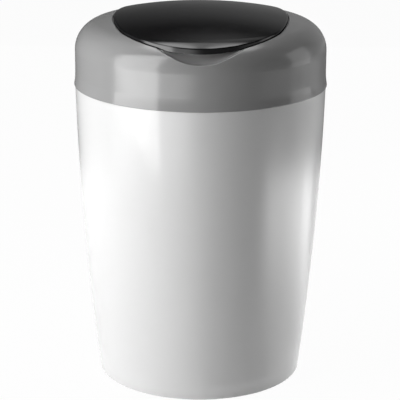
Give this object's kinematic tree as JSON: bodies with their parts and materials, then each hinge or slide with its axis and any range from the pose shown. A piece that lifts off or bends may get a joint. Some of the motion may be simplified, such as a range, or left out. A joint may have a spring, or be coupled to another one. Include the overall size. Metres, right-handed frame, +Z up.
{
  "type": "nappy bin",
  "caption": "Free-standing nappy bin: tapered round tub, lift-off domed hood with a hinged oval lid and finger scoop, and a twist-to-seal film cassette inside.",
  "frame": {"origin": "centre of the foot ring, on the plane that the bin stands on", "axes": "+Z up, -Y towards the front with the finger scoop, +X to the right seen from the front"},
  "size_m": [0.2647, 0.2648, 0.3945],
  "materials": {
    "tub_white": "gloss white moulding",
    "carrier_white": "satin pale grey moulding",
    "diaphragm_rubber": "soft dark elastomer",
    "screw_steel": "zinc plated",
    "cutter_grey": "satin grey moulding",
    "hood_grey": "gloss grey moulding",
    "cassette_white": "thin white moulding",
    "film": "thin pleated film",
    "liner_grey": "gloss grey moulding",
    "lid_black": "gloss black moulding",
    "lid_inner_black": "satin black moulding",
    "seal_rubber": "soft dark elastomer"
  },
  "bodies": {
    "bin": {"tub": "tub_white", "cassette_carrier": "carrier_white", "gripper_diaphragm": "diaphragm_rubber", "diaphragm_clamp_ring": "carrier_white", "diaphragm_screws": "screw_steel", "cutter_body": "cutter_grey", "cutter_blade": "screw_steel", "cutter_screws": "screw_steel"},
    "turntable": {"twist_ring": "hood_grey", "cassette_tray": "cassette_white", "cassette_cap": "cassette_white", "film_pack": "film"},
    "hood": {"hood_shell": "hood_grey", "hood_liner": "liner_grey", "hood_liner_screws": "screw_steel", "hinge_pin": "screw_steel"},
    "lid": {"lid_shell": "lid_black", "lid_inner": "lid_inner_black", "lid_screws": "screw_steel", "lid_seal": "seal_rubber"}
  },
  "joints": [
    {"name": "film_twist", "type": "hinge", "parent": "bin", "child": "turntable", "pos_m": [0, 0, 0.305], "axis": [0, 0, 1], "continuous": true},
    {"name": "hood_lift", "type": "slide", "parent": "bin", "child": "hood", "axis": [0, 0, 1], "range_m": [0, 0.12]},
    {"name": "lid_hinge", "type": "hinge", "parent": "hood", "child": "lid", "pos_m": [0, 0.095, 0.3795], "axis": [-1, 0, 0], "range_deg": [0, 95]}
  ]
}
